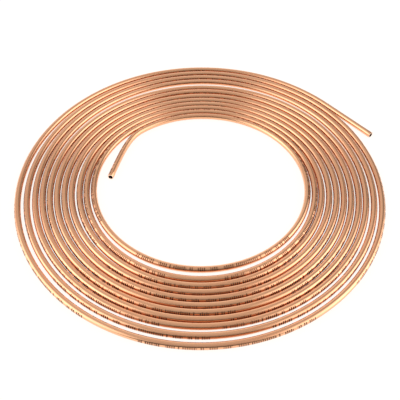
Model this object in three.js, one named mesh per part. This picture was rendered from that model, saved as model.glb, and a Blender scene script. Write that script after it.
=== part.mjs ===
// A flat coil of copper tube: one length of 3/16 in tube wound as a single-layer spiral, with both
// ends sprung free of the winding and cut square. Millimetres, +Z up. The coil lies on z = 0, and
// the middle of its footprint is the origin.
import * as THREE from 'three';

// Tube stock
const tubeDiameter = 4.7625; // 3/16 in
const wallThickness = 0.7112; // 0.028 in
const copper = { color: 0xc47f55, roughness: 0.28, metalness: 1 };

// Winding. It is given on four sides, named as seen from above with +Y at the back. The tube starts
// at the back of the eye and runs clockwise outward: back, right, front, left, and back again. It
// leaves the winding in its last turn, between the back and the right.
// A side has the radius of its first turn, to the centreline, its usual clear gap from one turn to
// the next, and the turns after which the gap is another one.
const turns = 12;
const back = {
  firstRadius: 75,
  usualGap: 0.3,
  gapAfterTurn: { 1: 0.5, 5: 0.7, 6: 1.4, 7: 0.6, 8: 3.9, 9: 1.1, 10: 1.1, 11: 1.1 },
};
const right = {
  firstRadius: 79.8,
  usualGap: 0.65,
  gapAfterTurn: { 1: 0.5, 2: 0.2, 3: 0.8, 9: 1, 10: 1, 11: 0.1 },
};
const front = { firstRadius: 79.9, usualGap: 0.2, gapAfterTurn: { 1: 3.2, 9: 1.7, 10: 2.2 } };
const left = { firstRadius: 80.6, usualGap: 0.6, gapAfterTurn: { 1: 0.5, 2: 0.4, 3: 1.1, 9: 1.3, 10: 1.9 } };

// Inner end: a straight length that leaves the first turn and cuts into the eye
const innerEndFacing = 166; // degrees round from +X of the point where it passes nearest the middle
const innerEndSetIn = 6.7; // how much nearer the middle it passes than the turns beside it do
const innerEndReach = 12; // how far the tube goes on past that point
const innerEndBend = 8; // how gradually the first turn bends into it

// Outer end: a straight length that leaves the last turn along its tangent
const outerEndFacing = 40; // degrees round from +X where it leaves
const outerEndLength = 49;

// Facets
const stepsPerTurn = 36;
const outsideSides = 8;
const boreSides = 6;

const quarter = Math.PI / 2;
const step = (2 * Math.PI) / stepsPerTurn;
const radians = (degrees) => THREE.MathUtils.degToRad(degrees);

// Centreline radii of the turns on one side, from the innermost outward.
function radiiOnSide({ firstRadius, usualGap, gapAfterTurn }) {
  const radii = [firstRadius];
  for (let turn = 1; turn < turns; turn += 1) {
    radii.push(radii.at(-1) + tubeDiameter + (gapAfterTurn[turn] ?? usualGap));
  }
  return radii;
}

// The same radii in the order in which the tube passes them, a quarter turn apart. Of the last turn
// only the back and the right are needed.
function radiiAlongTube() {
  const sides = [back, right, front, left].map(radiiOnSide);
  const quarters = 4 * (turns - 1) + 2;
  return Array.from({ length: quarters }, (_, i) => sides[i % 4][Math.floor(i / 4)]);
}

const quarterRadii = radiiAlongTube();
const lastQuarter = quarterRadii.length - 1;

// Radius of the winding where the tube has wound through an angle from the back of the eye,
// a smooth curve through the quarter-turn radii.
function windingRadius(wound) {
  const place = THREE.MathUtils.clamp(wound / quarter, 0, lastQuarter);
  const i = Math.min(Math.floor(place), lastQuarter - 1);
  const t = place - i;
  const before = quarterRadii[Math.max(i - 1, 0)];
  const start = quarterRadii[i];
  const end = quarterRadii[i + 1];
  const after = quarterRadii[Math.min(i + 2, lastQuarter)];
  const startSlope = (end - before) / 2;
  const endSlope = (after - start) / 2;
  const bend = 2 * (start - end) + startSlope + endSlope;
  return ((bend * t + (end - start) - startSlope - bend) * t + startSlope) * t + start;
}

// Radius, in the direction `angle`, of a straight line that passes the middle at `distance`,
// nearest to it in the direction `facing`.
const lineRadius = (distance, facing, angle) => distance / Math.cos(angle - facing);

// The smaller of two radii, rounded over where they come within `bend` of each other.
function roundedMinimum(a, b, bend) {
  const nearness = Math.max(bend - Math.abs(a - b), 0) / bend;
  return Math.min(a, b) - (nearness * nearness * bend) / 4;
}

// Both ends, as angles wound from the back of the eye, clockwise
const innerFacing = radians(innerEndFacing);
const innerDistance = Math.min(back.firstRadius, left.firstRadius) - innerEndSetIn;
const innerTip = quarter - innerFacing - Math.atan(innerEndReach / innerDistance);
const outerFacing = radians(outerEndFacing);
const outerLeaves = lastQuarter * quarter - outerFacing;
const outerDistance = windingRadius(outerLeaves);
const outerTip = outerLeaves + Math.atan(outerEndLength / outerDistance);

// Centreline point of the tube in plan, where it has wound through an angle.
function routePoint(wound) {
  const angle = quarter - wound;
  let radius = windingRadius(wound);
  if (wound < 0) {
    radius = roundedMinimum(radius, lineRadius(innerDistance, innerFacing, angle), innerEndBend);
  }
  if (wound > outerLeaves) {
    radius = lineRadius(outerDistance, outerFacing, angle + 2 * Math.PI * Math.round(wound / (2 * Math.PI)));
  }
  return new THREE.Vector2(radius * Math.cos(angle), radius * Math.sin(angle));
}

// The route as straight chords. Neighbouring turns bend at the same angles, so that they nest.
function routeChords() {
  const count = Math.ceil((outerTip - innerTip) / step);
  return Array.from({ length: count + 1 }, (_, i) => routePoint(Math.min(innerTip + i * step, outerTip)));
}

// Points round a regular polygon that stands on a flat side and holds a circle of this diameter.
function polygon(diameter, sides) {
  const cornerRadius = diameter / 2 / Math.cos(Math.PI / sides);
  return Array.from({ length: sides }, (_, i) => {
    const angle = ((i + 0.5) / sides) * 2 * Math.PI - quarter;
    return new THREE.Vector2(cornerRadius * Math.cos(angle), cornerRadius * Math.sin(angle));
  });
}

// A straight tube with one step for each chord, so that its z counts the chords.
function straightTube(chords) {
  const section = new THREE.Shape(polygon(tubeDiameter, outsideSides));
  section.holes.push(new THREE.Path(polygon(tubeDiameter - 2 * wallThickness, boreSides)));
  return new THREE.ExtrudeGeometry(section, { depth: chords, steps: chords, bevelEnabled: false });
}

// Winds the straight tube along the route. Each ring of vertices stands on the plane that mitres
// its two chords, so the tube keeps its full width between the bends.
function windAlong(geometry, route) {
  const position = geometry.attributes.position;
  const last = route.length - 1;
  const heading = (i) => route[i + 1].clone().sub(route[i]).normalize();
  for (let v = 0; v < position.count; v += 1) {
    const i = Math.round(position.getZ(v));
    const into = heading(Math.max(i - 1, 0));
    const outOf = heading(Math.min(i, last - 1));
    const along = into.clone().add(outOf).normalize();
    const mitre = 1 / along.dot(into);
    const aside = position.getX(v) * mitre;
    const x = route[i].x - along.y * aside;
    const y = route[i].y + along.x * aside;
    position.setXYZ(v, x, y, tubeDiameter / 2 + position.getY(v));
  }
  return geometry;
}

function copperTube() {
  const route = routeChords();
  const geometry = windAlong(straightTube(route.length - 1), route);
  geometry.computeVertexNormals();
  geometry.computeBoundingBox();
  const middle = geometry.boundingBox.getCenter(new THREE.Vector3());
  geometry.translate(-middle.x, -middle.y, 0);
  const tube = new THREE.Mesh(geometry, new THREE.MeshStandardMaterial(copper));
  tube.name = 'copper_tube';
  return tube;
}

const coil = new THREE.Group();
coil.add(copperTube());

export default coil;
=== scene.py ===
# %% [markdown]
# # A flat coil of thin copper tube
#
# The object is one length of soft copper tube, less than 5 mm thick and more than 7 m long, wound
# flat as a spiral round an open eye. Both ends are free and cut square, so the hollow inside shows.
#
# All the difficulty is in one shape: a long hollow tube that has to follow more than eleven turns
# without twisting, pinching or touching itself. The lesson builds the tube straight, where every
# step is easy, and only then bends it.
#
# First comes the measured model. It has the true size, but a plain surface, and the tube made here
# will stand in for it. Blender works in metres, so one millimetre gets a name of its own.

# %% Load the measured model
import math
import bpy
import numpy as np
from mathutils import Matrix, Vector


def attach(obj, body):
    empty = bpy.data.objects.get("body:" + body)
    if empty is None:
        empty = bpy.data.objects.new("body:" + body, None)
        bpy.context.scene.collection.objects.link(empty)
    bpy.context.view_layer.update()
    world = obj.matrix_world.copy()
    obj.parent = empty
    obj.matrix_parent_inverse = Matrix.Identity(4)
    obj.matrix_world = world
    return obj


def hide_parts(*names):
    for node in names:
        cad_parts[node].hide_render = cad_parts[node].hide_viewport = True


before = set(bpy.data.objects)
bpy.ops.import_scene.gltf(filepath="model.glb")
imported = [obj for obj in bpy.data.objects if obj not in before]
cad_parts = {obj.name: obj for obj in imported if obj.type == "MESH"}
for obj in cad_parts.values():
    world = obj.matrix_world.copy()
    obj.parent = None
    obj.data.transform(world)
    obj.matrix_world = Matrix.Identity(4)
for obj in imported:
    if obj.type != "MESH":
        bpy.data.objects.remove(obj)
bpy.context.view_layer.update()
MM = 0.001

# %% [markdown]
# ## Sizes of the tube and of the winding
#
# The tube is a standard one, 3/16 in outside with a wall of 0.028 in. A coil could be drawn as an
# even spiral with one pitch, but hand-wound coils are never even, and the places where the turns
# spring apart are what makes this one look real. So each of the four sides has the radius of its
# first turn, its usual gap, and the few turns after which the gap is another one.
#
# Both ends run straight. "Facing" is the direction, counted round from +X, in which a straight end
# passes nearest to the middle. The outer end leaves the winding there. The inner end passes there
# set in from the turns beside it and reaches on a little, and a soft bend joins it to the first turn.

# %% Sizes
TUBE = 4.7625 * MM
WALL = 0.7112 * MM
QUARTER = math.pi / 2
TURNS = 12

# For each side, in mm: first radius to the centreline, usual clear gap, and {turn: gap after it}.
winding = {
    "back": (75.0, 0.3, {1: 0.5, 5: 0.7, 6: 1.4, 7: 0.6, 8: 3.9, 9: 1.1, 10: 1.1, 11: 1.1}),
    "right": (79.8, 0.65, {1: 0.5, 2: 0.2, 3: 0.8, 9: 1.0, 10: 1.0, 11: 0.1}),
    "front": (79.9, 0.2, {1: 3.2, 9: 1.7, 10: 2.2}),
    "left": (80.6, 0.6, {1: 0.5, 2: 0.4, 3: 1.1, 9: 1.3, 10: 1.9}),
}
INNER_FACING, OUTER_FACING = math.radians(166), math.radians(40)
INNER_SET_IN, INNER_REACH, INNER_BEND = 6.7 * MM, 12 * MM, 8 * MM
OUTER_LENGTH = 49 * MM


def radii_on(side):
    """Centreline radii of the turns on one side, from the innermost outward."""
    first_radius, usual_gap, other_gaps = winding[side]
    radii = [first_radius * MM]
    for turn in range(1, TURNS):
        radii.append(radii[-1] + TUBE + other_gaps.get(turn, usual_gap) * MM)
    return radii


sides = [radii_on(side) for side in ("back", "right", "front", "left")]
quarter_radii = [sides[i % 4][i // 4] for i in range(4 * (TURNS - 1) + 2)]
LAST = len(quarter_radii) - 1
print("quarter turns:", LAST, " outermost radius, mm:", round(quarter_radii[-1] / MM, 1))

# %% [markdown]
# ## The route that the tube follows
#
# The sides give the radius at each quarter turn. Between them it could change evenly, but then the
# tube would have a kink at every quarter. So it follows a smooth curve through the given values (a
# Catmull-Rom curve, which needs no more than four neighbours at a time).


# %% Route: radius of the winding
def winding_radius(wound):
    """Radius where the tube has wound through an angle from the back of the eye."""
    place = min(max(wound / QUARTER, 0), LAST)
    i = min(int(place), LAST - 1)
    t = place - i
    before, start = quarter_radii[max(i - 1, 0)], quarter_radii[i]
    end, after = quarter_radii[i + 1], quarter_radii[min(i + 2, LAST)]
    start_slope, end_slope = (end - before) / 2, (after - start) / 2
    bend = 2 * (start - end) + start_slope + end_slope
    return ((bend * t + (end - start) - start_slope - bend) * t + start_slope) * t + start


halfway = winding_radius(QUARTER / 2)
print("radius between the back and the right of the first turn, mm:", round(halfway / MM, 1))

# %% [markdown]
# At both ends the tube springs free of the winding and runs straight. A straight line, seen from
# the middle of the coil, is a radius that grows with one over a cosine. At the inner end the smaller
# of that radius and the winding's own counts, rounded over where the two are nearly the same.

# %% Route: straight ends
inner_distance = min(quarter_radii[0], quarter_radii[3]) - INNER_SET_IN
inner_tip = QUARTER - INNER_FACING - math.atan(INNER_REACH / inner_distance)
outer_leaves = LAST * QUARTER - OUTER_FACING
outer_distance = winding_radius(outer_leaves)
outer_tip = outer_leaves + math.atan(OUTER_LENGTH / outer_distance)


def route_radius(wound):
    """Radius of the whole route: the winding between its two straight ends."""
    angle = QUARTER - wound
    radius = winding_radius(wound)
    if wound < 0:
        line = inner_distance / math.cos(angle - INNER_FACING)
        blend = max(INNER_BEND - abs(radius - line), 0) / INNER_BEND
        return min(radius, line) - blend * blend * INNER_BEND / 4
    if wound > outer_leaves:
        return outer_distance / math.cos(angle - OUTER_FACING)
    return radius


def route_point(wound):
    radius, angle = route_radius(wound), QUARTER - wound
    return Vector((radius * math.cos(angle), radius * math.sin(angle), 0))


print("turns from tip to tip:", round((outer_tip - inner_tip) / (2 * math.pi), 2))

# %% [markdown]
# The route itself is a row of points, one for each degree that the tube winds through. The winding
# is drawn round its own middle, but the model stands on the middle of its footprint, which uneven
# turns and a free end draw a little aside, so the points are moved by that much.

# %% Route: its points
ROUTE_STEP = math.radians(1)
FOOTPRINT_MIDDLE = Vector((0.64 * MM, 1.33 * MM, 0))

steps = math.ceil((outer_tip - inner_tip) / ROUTE_STEP)
route = [route_point(min(inner_tip + i * ROUTE_STEP, outer_tip)) for i in range(steps + 1)]
route = [point - FOOTPRINT_MIDDLE for point in route]
length = sum((b - a).length for a, b in zip(route, route[1:]))
print("tube length, m:", round(length, 3))

# %% [markdown]
# ## Two helpers for modelling
#
# Blender's operators act on whatever is selected, as they do by hand. So each step starts with
# nothing selected, and picks its edges in code, by where they are.


# %% Helpers for modelling
def deselect():
    """Leaves edit mode, selects nothing, and lets edges be picked in the next edit."""
    if bpy.context.object and bpy.context.object.mode != "OBJECT":
        bpy.ops.object.mode_set(mode="OBJECT")
    bpy.ops.object.select_all(action="DESELECT")
    bpy.context.scene.tool_settings.mesh_select_mode = (False, True, False)


def select_edges(piece, wanted):
    """Leaves edit mode, selects the edges that wanted(a, b) is true of, and goes back in."""
    bpy.ops.object.mode_set(mode="OBJECT")
    mesh = piece.data
    for group in (mesh.vertices, mesh.edges, mesh.polygons):
        group.foreach_set("select", [False] * len(group))
    for edge in mesh.edges:
        a, b = (mesh.vertices[i].co for i in edge.vertices)
        edge.select = wanted(a, b)
    bpy.ops.object.mode_set(mode="EDIT")


print("helpers:", deselect.__name__, select_edges.__name__)

# %% [markdown]
# ## The tube, still straight
#
# The real tube was drawn straight and only then wound, and the model is made the same way. A sweep
# along the spiral would also work, but here every step can be checked while it is simple. A circle
# of 24 edges is turned to face along X and extruded to the full length. Its long edges are then
# cut, first into a hundred and each of those into fourteen, so that it can bend every 5.5 mm.
#
# An open tube has no inside that Blender could be sure of, so which way the faces point is checked
# on one of them, and if it points inward, all are turned over.

# %% Straight tube
SIDES = 24
FIRST_CUTS, SECOND_CUTS = 99, 13

deselect()
bpy.ops.mesh.primitive_circle_add(
    vertices=SIDES, radius=TUBE / 2, fill_type="NOTHING", location=(0, 0, 0), calc_uvs=False
)
tube = bpy.context.object
tube.name = "copper_tube_wound"
bpy.ops.object.mode_set(mode="EDIT")
bpy.ops.mesh.select_all(action="SELECT")
bpy.ops.transform.rotate(value=QUARTER, orient_axis="Y", center_override=(0, 0, 0))
bpy.ops.mesh.extrude_region_move(TRANSFORM_OT_translate={"value": (length, 0, 0)})
for cuts in (FIRST_CUTS, SECOND_CUTS):
    select_edges(tube, lambda a, b: abs(a.x - b.x) > MM)
    bpy.ops.mesh.subdivide(number_cuts=cuts)
bpy.ops.mesh.select_all(action="SELECT")
bpy.ops.mesh.normals_make_consistent(inside=False)
bpy.ops.object.mode_set(mode="OBJECT")

mesh = tube.data
face = mesh.polygons[len(mesh.polygons) // 2]
outward = Vector((0, face.center.y, face.center.z)).dot(face.normal) > 0
print("rings:", len(mesh.vertices) // SIDES, " faces point outwards:", outward)
if not outward:
    mesh.flip_normals()

# %% [markdown]
# ## A map along and round the tube
#
# A pattern has to follow the tube through every turn, and that is easiest to lay while the tube is
# straight. The map's first number is the place along the tube in metres, and the second is the
# place round it as a part of a full turn, from 0 on the side that will face away from the coil. All
# faces have four corners. Those that close the circle get numbers past a half, so that none of them
# spans the whole map.

# %% Map along and round the tube
TUBE_MAP = "along_and_round"

vertex_places = np.empty(len(mesh.vertices) * 3)
mesh.vertices.foreach_get("co", vertex_places)
corner_vertices = np.empty(len(mesh.loops), int)
mesh.loops.foreach_get("vertex_index", corner_vertices)
along, y, z = vertex_places.reshape(-1, 3)[corner_vertices].T
around = (np.arctan2(z, y) / (2 * math.pi)).reshape(-1, 4)
closes = around.max(axis=1, keepdims=True) - around > 0.5
around = np.where(closes, around + 1, around)

tube_map = mesh.uv_layers.new(name=TUBE_MAP)
tube_map.uv.foreach_set("vector", np.column_stack([along, around.ravel()]).ravel())
print("map:", TUBE_MAP, " along, m:", round(along.max(), 3), " round:", round(np.ptp(around), 2))

# %% [markdown]
# ## The wall and the cut edges
#
# The tube is hollow all the way, with a wall of 0.7 mm, and it was cut to length with a saw. Solidify
# gives the skin its thickness, inwards so that the outside keeps its size, and puts the bore and
# the two cut faces in materials of their own. A narrow bevel breaks the sharp edges at the cuts.

# %% Wall thickness and rounded cut edges
CUT_EDGE = 0.12 * MM
tube.data.materials.append(bpy.data.materials.new("drawn_copper"))
tube.data.materials.append(bpy.data.materials.new("bore_oxide_and_shade"))
tube.data.materials.append(bpy.data.materials.new("fresh_cut"))

wall = tube.modifiers.new("wall", "SOLIDIFY")
wall.thickness = WALL
wall.offset = -1
wall.material_offset = 1
wall.material_offset_rim = 2
bevel = tube.modifiers.new("cut_edges", "BEVEL")
bevel.width = CUT_EDGE
bevel.segments = 2
bevel.limit_method = "ANGLE"
bevel.angle_limit = math.radians(60)
print("wall, mm:", round(WALL / MM, 2), " bore, mm:", round((TUBE - 2 * WALL) / MM, 2))

# %% [markdown]
# ## Winding it
#
# The route becomes a guide curve, and the Curve modifier lays the straight tube along it. A flat
# (2D) guide keeps the tube's own up pointing up, so the tube doesn't twist. The three modifiers are
# then applied in order, the guide goes, and the tube is lifted by half its thickness so that it lies
# on the floor. It stays at the origin, with its place in its mesh, as the measured model has it.

# %% Wind the tube along the route
guide_data = bpy.data.curves.new("winding_guide", "CURVE")
guide_data.dimensions = "2D"
guide_line = guide_data.splines.new("POLY")
guide_line.points.add(len(route) - 1)
for point, place_on_route in zip(guide_line.points, route):
    point.co = (*place_on_route, 1)
guide = bpy.data.objects.new("winding_guide", guide_data)
bpy.context.scene.collection.objects.link(guide)

wind = tube.modifiers.new("wind", "CURVE")
wind.object = guide
wind.deform_axis = "POS_X"
deselect()
tube.select_set(True)
bpy.context.view_layer.objects.active = tube
for modifier in [m.name for m in tube.modifiers]:
    bpy.ops.object.modifier_apply(modifier=modifier)
bpy.data.objects.remove(guide)
tube.data.transform(Matrix.Translation((0, 0, TUBE / 2)))
bpy.ops.object.shade_smooth_by_angle(angle=math.radians(40))
print("triangles:", sum(len(p.vertices) - 2 for p in tube.data.polygons))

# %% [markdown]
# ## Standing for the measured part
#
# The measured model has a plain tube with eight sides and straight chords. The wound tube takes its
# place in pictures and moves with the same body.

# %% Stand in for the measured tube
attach(tube, "root")
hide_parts("copper_tube")
print("piece:", tube.name, " stands for: copper_tube")

# %% [markdown]
# ## Node helpers
#
# Materials are built from nodes. They can be placed and joined by hand in the shader editor. In code
# the same takes three lines for each node, so these helpers add a node and fill it in one.


# %% Helpers for nodes
def put(tree, value, socket):
    """Links a socket to a socket, or sets a plain value on it."""
    if isinstance(value, bpy.types.NodeSocket):
        tree.links.new(value, socket)
    elif value is not None:
        socket.default_value = value


def add_node(tree, kind, values=(), **settings):
    """Adds a node, sets its properties, and fills its inputs in order (None skips one)."""
    node = tree.nodes.new(kind)
    for name, setting in settings.items():
        setattr(node, name, setting)
    for socket, value in zip(node.inputs, values):
        put(tree, value, socket)
    return node


def math_node(tree, operation, *values):
    return add_node(tree, "ShaderNodeMath", values, operation=operation).outputs[0]


def graded(tree, value, start, end, at_start, at_end, curve="LINEAR"):
    """A number that goes from at_start to at_end while value goes from start to end."""
    values = [value, start, end, at_start, at_end]
    return add_node(tree, "ShaderNodeMapRange", values, interpolation_type=curve).outputs[0]


print("helpers:", [f.__name__ for f in (put, add_node, math_node, graded)])

# %% [markdown]
# A node group is a named effect with inputs and outputs of its own. It is built once, and several
# materials can use it, each with its own values.


# %% Helpers for node groups
def new_group(name, inputs, outputs):
    """An empty node group with float inputs {name: default} and outputs {name: socket type}."""
    tree = bpy.data.node_groups.new(name, "ShaderNodeTree")
    for label, default in inputs.items():
        socket = tree.interface.new_socket(label, in_out="INPUT", socket_type="NodeSocketFloat")
        socket.default_value = default
    for label, kind in outputs.items():
        tree.interface.new_socket(label, in_out="OUTPUT", socket_type=kind)
    return tree, tree.nodes.new("NodeGroupInput").outputs, tree.nodes.new("NodeGroupOutput").inputs


def use_group(tree, group, **values):
    node = add_node(tree, "ShaderNodeGroup", node_tree=group)
    for label, value in values.items():
        put(tree, value, node.inputs[label])
    return node.outputs


print("helpers:", new_group.__name__, use_group.__name__)

# %% [markdown]
# ## A place on the tube
#
# A pattern on a wound tube has to follow it round every turn. Noise laid straight on the map would
# show a seam where the map closes, so the place round the tube is turned into a point on a circle:
# the first number is the length in metres and the other two are the circle. Noise read there has
# no seam. "Along" and "Round" say how quickly the noise changes in each direction.

# %% Group: place on the tube
place_group, given, out = new_group(
    "place_on_tube",
    {"Along": 1, "Round": 1},
    {"Place": "NodeSocketVector", "Metres": "NodeSocketFloat", "Turn": "NodeSocketFloat"},
)
uv = add_node(place_group, "ShaderNodeUVMap", uv_map=TUBE_MAP).outputs[0]
split = add_node(place_group, "ShaderNodeSeparateXYZ", [uv]).outputs
angle = math_node(place_group, "MULTIPLY", split[1], 2 * math.pi)
across = math_node(place_group, "MULTIPLY", math_node(place_group, "COSINE", angle), given["Round"])
upward = math_node(place_group, "MULTIPLY", math_node(place_group, "SINE", angle), given["Round"])
metres = math_node(place_group, "MULTIPLY", split[0], given["Along"])
joined = add_node(place_group, "ShaderNodeCombineXYZ", [metres, across, upward]).outputs[0]
place_group.links.new(joined, out["Place"])
place_group.links.new(split[0], out["Metres"])
place_group.links.new(split[1], out["Turn"])
print("group:", place_group.name, " outputs:", [socket.name for socket in out if socket.name])

# %% [markdown]
# ## Drawing lines, tarnish and small bends
#
# Tube is pulled through a die, which leaves very fine lines along it. Handling and air then dull
# it in soft patches a few centimetres long, and winding by hand leaves it very slightly wavy, which
# only the highlights show. All three are noise, read at very different stretches, so one function
# makes the three groups.


# %% Groups: drawing lines, tarnish and small bends
def noise_group(name, along, round_the_tube, detail, low, high):
    """A mask from 0 to 1: noise, of which the part between low and high is spread out."""
    inputs = {"Along": along, "Round": round_the_tube}
    group, given, out = new_group(name, inputs, {"Mask": "NodeSocketFloat"})
    place = use_group(group, place_group, Along=given["Along"], Round=given["Round"])["Place"]
    noise = add_node(group, "ShaderNodeTexNoise")
    noise.inputs["Scale"].default_value = 1
    noise.inputs["Detail"].default_value = detail
    group.links.new(place, noise.inputs["Vector"])
    group.links.new(graded(group, noise.outputs[0], low, high, 0, 1), out["Mask"])
    return group


drawing_lines = noise_group(
    "drawing_lines", along=9, round_the_tube=7, detail=2, low=0.3, high=0.7
)
tarnish = noise_group("tarnish", along=28, round_the_tube=0.7, detail=3, low=0.38, high=0.68)
small_bends = noise_group("small_bends", along=40, round_the_tube=0.5, detail=0, low=0.2, high=0.8)
print("noise groups:", [g.name for g in (drawing_lines, tarnish, small_bends)])

# %% [markdown]
# ## Painted shade on the sides
#
# Where turns lie against each other, the grooves between them lie in shade, and that shade is painted
# into the colour, so both sides of the tube are browner than its top. The map's second number is 0 on
# the side away from the middle of the coil and a half on the side towards it, so the cosine of
# twice the angle is 1 on both sides, and -1 on top and underneath.

# %% Group: painted shade on the sides
# This mask paints shade on both sides of the tube, where it lies in the grooves between turns.
SIDE_SHADE_BEGINS, SIDE_SHADE_FULL = 0.1, 0.9

side_shade_group, _, out = new_group("painted_side_shade", {}, {"Mask": "NodeSocketFloat"})
turn = use_group(side_shade_group, place_group)["Turn"]
twice = math_node(side_shade_group, "MULTIPLY", turn, 2 * 2 * math.pi)
sideways = math_node(side_shade_group, "COSINE", twice)
side_shade_group.links.new(graded(side_shade_group, sideways, SIDE_SHADE_BEGINS, SIDE_SHADE_FULL, 0, 1), out["Mask"])
print("group:", side_shade_group.name)

# %% [markdown]
# ## The printed marks
#
# A line of small dark marks is printed along the tube by a wheel, so the same marks come again
# every six inches, with a blank stretch between one print and the next. Here they are plain ticks
# in groups, and spell nothing. The line runs well up on the tube's outward side at first and lower
# from about the third turn on, because the tube rolled over a little while it was wound.
#
# Ticks could be separate faces, but ink has no thickness, so they are a mask. It is made in three
# short cells: where the prints and their ticks are along the tube, which ticks there are and how
# tall, and where they are round the tube and how worn. A tick's width is a part of the pitch.

# %% Group: printed ticks, the wheel
PRINT_REPEATS, PRINT_LENGTH, PRINT_STARTS = 152.4 * MM, 115 * MM, -15 * MM
TICK_PITCH, TICK_WIDTH = 1.35 * MM, 0.62

tick_group, _, out = new_group("printed_ticks", {}, {"Mask": "NodeSocketFloat"})
place = use_group(tick_group, place_group)
metres = math_node(tick_group, "SUBTRACT", place["Metres"], PRINT_STARTS)
metres = math_node(tick_group, "FLOORED_MODULO", metres, PRINT_REPEATS)
printed = math_node(tick_group, "LESS_THAN", metres, PRINT_LENGTH)
ticks = math_node(tick_group, "DIVIDE", metres, TICK_PITCH)
inked = math_node(tick_group, "LESS_THAN", math_node(tick_group, "FRACT", ticks), TICK_WIDTH)
print("ticks in one print, at most:", round(PRINT_LENGTH / TICK_PITCH))

# %% [markdown]
# Noise that changes about every four millimetres decides where a group of ticks begins and ends.
# White noise gives each tick a number of its own, which leaves some out and sets the others' height.
# Heights and places round the tube are parts of a full turn.

# %% Group: printed ticks, groups and heights
GROUPS_PER_METRE, GROUP_LIMIT = 230, 0.4
TICKS_LEFT_OUT = 0.06
HALF_HEIGHT_LEAST, HALF_HEIGHT_MOST = 0.065, 0.1

words = add_node(tick_group, "ShaderNodeTexNoise", noise_dimensions="1D")
words.inputs["Scale"].default_value = GROUPS_PER_METRE
words.inputs["Detail"].default_value = 0
tick_group.links.new(metres, words.inputs["W"])
in_group = math_node(tick_group, "GREATER_THAN", words.outputs[0], GROUP_LIMIT)

drawn = add_node(tick_group, "ShaderNodeTexWhiteNoise", noise_dimensions="1D")
tick_group.links.new(math_node(tick_group, "FLOOR", ticks), drawn.inputs["W"])
kept = math_node(tick_group, "GREATER_THAN", drawn.outputs[0], TICKS_LEFT_OUT)
half_height = graded(tick_group, drawn.outputs[0], 0, 1, HALF_HEIGHT_LEAST, HALF_HEIGHT_MOST)
tallest = 2 * HALF_HEIGHT_MOST * math.pi * TUBE
print("tallest tick round the tube, mm:", round(tallest / MM, 2))

# %% [markdown]
# The line's place is counted up from the outward side. It rolls over between two places along the
# tube, in metres, and sways a little all the way, because no wheel and no hand runs true. The ink
# is worn thin where the tube is tarnished.

# %% Group: printed ticks, place and wear
PRINT_UP_INSIDE, PRINT_UP_OUTSIDE = 49 / 360, 21 / 360
ROLL_STARTS, ROLL_ENDS = 0.87, 1.3
SWAY, SWAY_QUICKNESS = 6 / 360, 5
INK_FRESH, INK_WORN = 0.95, 0.6

rolled = (ROLL_STARTS, ROLL_ENDS, PRINT_UP_INSIDE, PRINT_UP_OUTSIDE)
middle = graded(tick_group, place["Metres"], *rolled, curve="SMOOTHSTEP")
swaying = math_node(tick_group, "MULTIPLY", place["Metres"], SWAY_QUICKNESS)
sway = math_node(tick_group, "SINE", swaying)
middle = math_node(tick_group, "MULTIPLY_ADD", sway, SWAY, middle)
off_middle = math_node(tick_group, "SUBTRACT", place["Turn"], middle)
off_middle = math_node(tick_group, "ABSOLUTE", off_middle)
in_height = math_node(tick_group, "LESS_THAN", off_middle, half_height)

mask = printed
for part in (inked, in_group, kept, in_height):
    mask = math_node(tick_group, "MULTIPLY", mask, part)
worn = use_group(tick_group, tarnish)["Mask"]
thin = graded(tick_group, worn, 0, 1, INK_FRESH, INK_WORN)
tick_group.links.new(math_node(tick_group, "MULTIPLY", mask, thin), out["Mask"])
print("group:", tick_group.name, " prints along the tube:", round(length / PRINT_REPEATS))

# %% [markdown]
# ## Three small tools for finishes
#
# A mask only says where. These turn one into a colour, a number or a dent: a mix of two colours, a
# number that slides between two values, and a bump whose depth is given in metres.


# %% Helpers for finishes
def mix_colors(tree, mask, first, second):
    mix = add_node(tree, "ShaderNodeMix", data_type="RGBA")
    tree.links.new(mask, mix.inputs["Factor"])
    for socket, color in ((mix.inputs["A"], first), (mix.inputs["B"], second)):
        plain = isinstance(color, tuple)
        put(tree, (*color, 1) if plain else color, socket)
    return mix.outputs["Result"]


def map_mask(tree, mask, at_none, at_full):
    return graded(tree, mask, 0, 1, at_none, at_full)


def bump(tree, height, depth, normal=None):
    node = add_node(tree, "ShaderNodeBump")
    node.inputs["Distance"].default_value = depth
    tree.links.new(height, node.inputs["Height"])
    put(tree, normal, node.inputs["Normal"])
    return node.outputs["Normal"]


print("helpers:", [f.__name__ for f in (mix_colors, map_mask, bump)])

# %% [markdown]
# ## Drawn copper
#
# A metal has no colour of its own but that of its reflections, so the finish is a metal shader with
# a pale orange base colour. Tarnish makes it a little darker and less glossy, and painted shade
# makes the sides browner. The ink is a thin dark stain on the metal, so it stays metallic and is only
# dark and rougher. A clear coat stands for the film of drawing oil, which pales the rims. The ink
# lies on top of the oil, so the coat stops where the ink is. The small bends and the drawing lines
# are too shallow to model, and a bump shows them in the highlights. Colour comes first, and then the
# rest.

# %% Material: drawn copper, its colour
COPPER_BRIGHT, COPPER_DULL = (0.96, 0.49, 0.26), (0.92, 0.43, 0.22)
# The second colour is painted shade for the grooves between turns, and the number after it is how
# much of it the sides get.
COPPER_SIDE_SHADE, SIDE_SHADE_AMOUNT = (0.50, 0.26, 0.15), 0.3
INK = (0.09, 0.03, 0.015)

drawn_copper, bore_oxide_and_shade, fresh_cut = tube.data.materials
drawn_copper.use_nodes = True
tree = drawn_copper.node_tree
shader = tree.nodes["Principled BSDF"]
lines = use_group(tree, drawing_lines)["Mask"]
dull = use_group(tree, tarnish)["Mask"]
bends = use_group(tree, small_bends)["Mask"]
side_shade = use_group(tree, side_shade_group)["Mask"]
ink = use_group(tree, tick_group)["Mask"]

color = mix_colors(tree, dull, COPPER_BRIGHT, COPPER_DULL)
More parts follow.
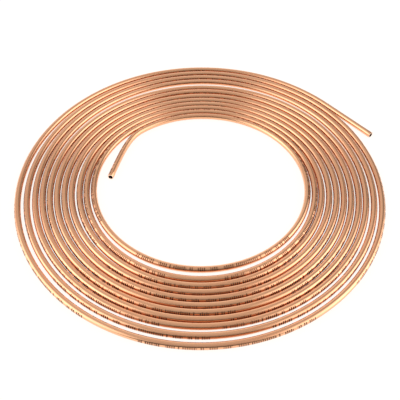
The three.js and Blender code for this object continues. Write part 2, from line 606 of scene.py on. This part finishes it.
# Painted shade: both sides of the tube are mixed towards the darker brown.
color = mix_colors(tree, map_mask(tree, side_shade, 0, SIDE_SHADE_AMOUNT), color, COPPER_SIDE_SHADE)
color = mix_colors(tree, ink, color, INK)
tree.links.new(color, shader.inputs["Base Color"])
shader.inputs["Metallic"].default_value = 1
print("material:", drawn_copper.name, " nodes so far:", len(tree.nodes))

# %% [markdown]
# Roughness says how far a highlight spreads: little on bright copper, more on tarnish and along the
# drawing lines, and most on the ink. The bends' bump is fed into that of the lines, so both show.

# %% Material: drawn copper, its gloss and its bumps
ROUGH_BRIGHT, ROUGH_DULL, ROUGH_LINES = 0.15, 0.25, 0.06
INK_ROUGHNESS = 0.5
OIL_FILM, OIL_ROUGHNESS = 0.9, 0.15
BEND_DEPTH, LINE_DEPTH = 0.08 * MM, 0.004 * MM

rough = map_mask(tree, dull, ROUGH_BRIGHT, ROUGH_DULL)
rough = math_node(tree, "MULTIPLY_ADD", lines, ROUGH_LINES, rough)
tree.links.new(map_mask(tree, ink, rough, INK_ROUGHNESS), shader.inputs["Roughness"])
tree.links.new(map_mask(tree, ink, OIL_FILM, 0), shader.inputs["Coat Weight"])
shader.inputs["Coat Roughness"].default_value = OIL_ROUGHNESS
waved = bump(tree, bends, BEND_DEPTH)
tree.links.new(bump(tree, lines, LINE_DEPTH, waved), shader.inputs["Normal"])
print("material:", drawn_copper.name, " nodes:", len(tree.nodes))

# %% [markdown]
# ## The bore and the cut ends
#
# Nothing polishes the inside of the tube, so it is brown oxide, matt and no longer metallic, and
# painted shade for the depth of the bore darkens it nearly to black.
# The cut faces are the opposite: the saw has just gone through, and the metal there is paler and
# scratched. Neither has oil or ink on it, so one function finishes both. It uses the tarnish and the
# drawing lines of the outside, with other values: small blotches and faint lines in the bore, and
# close scratches on the cut faces.


# %% Materials: bore and cut faces
SCRATCH_DEPTH = 0.02 * MM
SCRATCHES_CLOSER = 4


def dry_finish(material, metallic, shine, colors, roughness, along, round_the_tube):
    """Finishes a face that has no oil and no ink; the pairs are for clean and tarnished metal."""
    material.use_nodes = True
    tree = material.node_tree
    shader = tree.nodes["Principled BSDF"]
    shader.inputs["Metallic"].default_value = metallic
    shader.inputs["Specular IOR Level"].default_value = shine
    mask = use_group(tree, tarnish, Along=along, Round=round_the_tube)["Mask"]
    tree.links.new(mix_colors(tree, mask, *colors), shader.inputs["Base Color"])
    tree.links.new(map_mask(tree, mask, *roughness), shader.inputs["Roughness"])
    scratches = use_group(
        tree, drawing_lines, Along=along, Round=SCRATCHES_CLOSER * round_the_tube
    )["Mask"]
    tree.links.new(bump(tree, scratches, SCRATCH_DEPTH), shader.inputs["Normal"])
    print("material:", material.name)


# The bore's colours are oxide brown with painted shade for the depth of the tube, so they are nearly
# black.
dry_finish(
    bore_oxide_and_shade,
    metallic=0,
    shine=0.08,
    colors=((0.05, 0.022, 0.014), (0.02, 0.010, 0.008)),
    roughness=(0.8, 0.95),
    along=60,
    round_the_tube=1.2,
)
dry_finish(
    fresh_cut,
    metallic=1,
    shine=0.5,
    colors=((0.98, 0.74, 0.60), (0.92, 0.60, 0.44)),
    roughness=(0.3, 0.45),
    along=28,
    round_the_tube=4,
)

# %% [markdown]
# ## White paper under the coil
#
# The coil lies on a very wide sheet of white paper. A plane is enough for it. The plane lies a hair
# lower than the coil, so that the two never cross, and it belongs to the stage, not to the object.

# %% Floor
PAPER_SIDE, PAPER_LOWER = 8, 0.2 * MM

deselect()
bpy.ops.mesh.primitive_plane_add(size=PAPER_SIDE, location=(0, 0, -PAPER_LOWER))
floor = bpy.context.object
floor.name = "studio_floor"
print("floor:", floor.name, " side, m:", round(floor.dimensions.x, 1))

# %% [markdown]
# A plain white surface needs so much light to render white that the copper would glow. So the paper
# gives off its own white where the camera looks at it, and where the metal mirrors it. That white is
# barely warm. The plain diffuse part under it keeps the coil's soft shadow.
#
# Paper deep in a groove between two turns gets little light in a real room, and the metal over it
# has little to mirror. Ambient occlusion measures how much of the sky is left open by what stands
# within a few millimetres, and dims the mirrored paper where it is little, so grooves stay darker.

# %% Material: white paper
PAPER_SEEN, PAPER_MIRRORED, PAPER_SHADED = 0.95, 1.15, 0.14
PAPER_WHITE = (1, 0.97, 0.93, 1)
PAPER_IN_GROOVE, OPEN_ENOUGH, SHADE_REACH = 0.3, 0.25, 6 * MM

paper = bpy.data.materials.new("white_paper")
paper.use_nodes = True
tree = paper.node_tree
tree.nodes.clear()
rays = add_node(tree, "ShaderNodeLightPath").outputs
mirrored = math_node(tree, "MAXIMUM", rays["Is Glossy Ray"], rays["Is Transmission Ray"])
open_sky = add_node(tree, "ShaderNodeAmbientOcclusion", [None, SHADE_REACH], samples=8)
lit = graded(tree, open_sky.outputs["AO"], 0, OPEN_ENOUGH, PAPER_IN_GROOVE, 1)
mirrored = math_node(tree, "MULTIPLY", mirrored, lit)
shown = math_node(tree, "MULTIPLY", rays["Is Camera Ray"], PAPER_SEEN)
shown = math_node(tree, "MULTIPLY_ADD", mirrored, PAPER_MIRRORED, shown)
glow = add_node(tree, "ShaderNodeEmission", [PAPER_WHITE, shown])
shade = add_node(tree, "ShaderNodeBsdfDiffuse", [(PAPER_SHADED, PAPER_SHADED, PAPER_SHADED, 1)])
both = add_node(tree, "ShaderNodeAddShader", [glow.outputs[0], shade.outputs[0]])
add_node(tree, "ShaderNodeOutputMaterial", [both.outputs[0]])
floor.data.materials.append(paper)
print("material:", paper.name, " nodes:", len(tree.nodes))

# %% [markdown]
# ## The room
#
# Bright metal is a mirror: what makes it look like copper is the room round it. A room that is the
# same all over would leave the coil flat, so this one has parts, as a studio has. It is dark behind
# the camera, where nobody puts a lamp, lighter overhead and low at the back, and darker at the back
# on the right. White paper stands all round at the horizon. The level is made in the world from the
# direction that each ray goes in: x is right, y is back and z is up. Each part goes from one level
# at its start to another at its end.

# %% Room
world = bpy.data.worlds.new("studio")
bpy.context.scene.world = world
world.use_nodes = True
tree = world.node_tree
direction = add_node(tree, "ShaderNodeTexCoord").outputs["Generated"]
x, y, z = add_node(tree, "ShaderNodeSeparateXYZ", [direction]).outputs

camera_side = graded(tree, y, start=-0.9, end=-0.7, at_start=0.05, at_end=0.42)
overhead = graded(tree, y, start=-0.7, end=0.4, at_start=0, at_end=0.27)
level = math_node(tree, "ADD", camera_side, overhead)

either_way = math_node(tree, "ABSOLUTE", x)
low_at_back = graded(tree, z, start=0, end=0.72, at_start=0.6, at_end=0)
middle_of_back = graded(tree, either_way, start=0.1, end=0.5, at_start=1, at_end=0.2)
light_at_back = math_node(tree, "MULTIPLY", low_at_back, middle_of_back)
dark_at_right = graded(tree, x, start=0.02, end=0.35, at_start=0, at_end=0.42)
dark_at_left = graded(tree, x, start=-0.5, end=-0.1, at_start=0.08, at_end=0)
at_the_back = graded(tree, y, start=0.2, end=0.5, at_start=0, at_end=1)
change = math_node(tree, "SUBTRACT", light_at_back, dark_at_right)
change = math_node(tree, "SUBTRACT", change, dark_at_left)
change = math_node(tree, "MULTIPLY", change, at_the_back)
level = math_node(tree, "ADD", level, change)

horizon = graded(tree, z, start=0.08, end=0.2, at_start=1, at_end=0)
level = math_node(tree, "MAXIMUM", level, horizon)
print("world:", world.name, " nodes so far:", len(tree.nodes))

# %% [markdown]
# ## Two soft boxes
#
# The long highlights that run round the turns are the mirror images of two big soft boxes, one on
# each side and a little towards the camera. A plain area lamp has a hard edge, and its highlight
# would stop dead in the middle of a turn. So most of each soft box is a glow in the world that
# fades out smoothly from its middle, and a weak lamp in that middle gives its core and a shadow.
# The glow's edge and middle are cosines of angles from where the soft box points.


# %% Soft boxes
def pointing(facing, height):
    """Unit vector towards a place, in degrees round from +X and above the floor."""
    facing, height = math.radians(facing), math.radians(height)
    flat = math.cos(height)
    return Vector((flat * math.cos(facing), flat * math.sin(facing), math.sin(height)))


BOXES = {"soft_box_left": pointing(193, 28), "soft_box_right": pointing(350, 27)}
GLOW, GLOW_EDGE, GLOW_MIDDLE = 1.35, math.cos(math.radians(44)), math.cos(math.radians(18))
LAMP_DISTANCE, LAMP_WIDTH, LAMP_HEIGHT, LAMP_WATTS = 0.8, 0.6, 0.45, 0.2

for name, toward in BOXES.items():
    near = add_node(tree, "ShaderNodeVectorMath", [direction, toward], operation="DOT_PRODUCT")
    near = near.outputs["Value"]
    glow = graded(tree, near, GLOW_EDGE, GLOW_MIDDLE, 0, GLOW, curve="SMOOTHSTEP")
    level = math_node(tree, "ADD", level, glow)
    lamp = bpy.data.lights.new(name, "AREA")
    lamp.shape, lamp.size, lamp.size_y = "ELLIPSE", LAMP_WIDTH, LAMP_HEIGHT
    lamp.energy = LAMP_WATTS
    box = bpy.data.objects.new(name, lamp)
    bpy.context.scene.collection.objects.link(box)
    box.location = toward * LAMP_DISTANCE
    box.rotation_euler = toward.to_track_quat("Z", "Y").to_euler()
    box.visible_camera = False
    print("soft box:", name, " at, m:", [round(c, 2) for c in box.location])

background = tree.nodes["Background"].inputs
background["Color"].default_value = (1, 1, 1, 1)
tree.links.new(level, background["Strength"])

# %% [markdown]
# ## Camera
#
# The coil is seen from the front and about 49 degrees above the table. From there the round coil is
# an oval three quarters as high as it is wide, and both open ends show their bores. The camera is
# given by the point it looks at, its distance and its angle above the floor, which is easier to read
# than a place and three angles.

# %% Camera
TARGET = Vector((-0.857 * MM, -16.14 * MM, 0)) - FOOTPRINT_MIDDLE
DISTANCE, ELEVATION = 442.9 * MM, math.radians(48.92)
LENS = 53.73

camera_data = bpy.data.cameras.new("view")
camera_data.lens = LENS
camera_data.clip_start, camera_data.clip_end = 0.01, 20
camera = bpy.data.objects.new("view", camera_data)
bpy.context.scene.collection.objects.link(camera)
camera.location = TARGET + DISTANCE * Vector((0, -math.cos(ELEVATION), math.sin(ELEVATION)))
camera.rotation_euler = (QUARTER - ELEVATION, 0, 0)
bpy.context.scene.camera = camera
bpy.context.scene.view_settings.view_transform = "Standard"
print("camera at, mm:", [round(c / MM, 1) for c in camera.location])
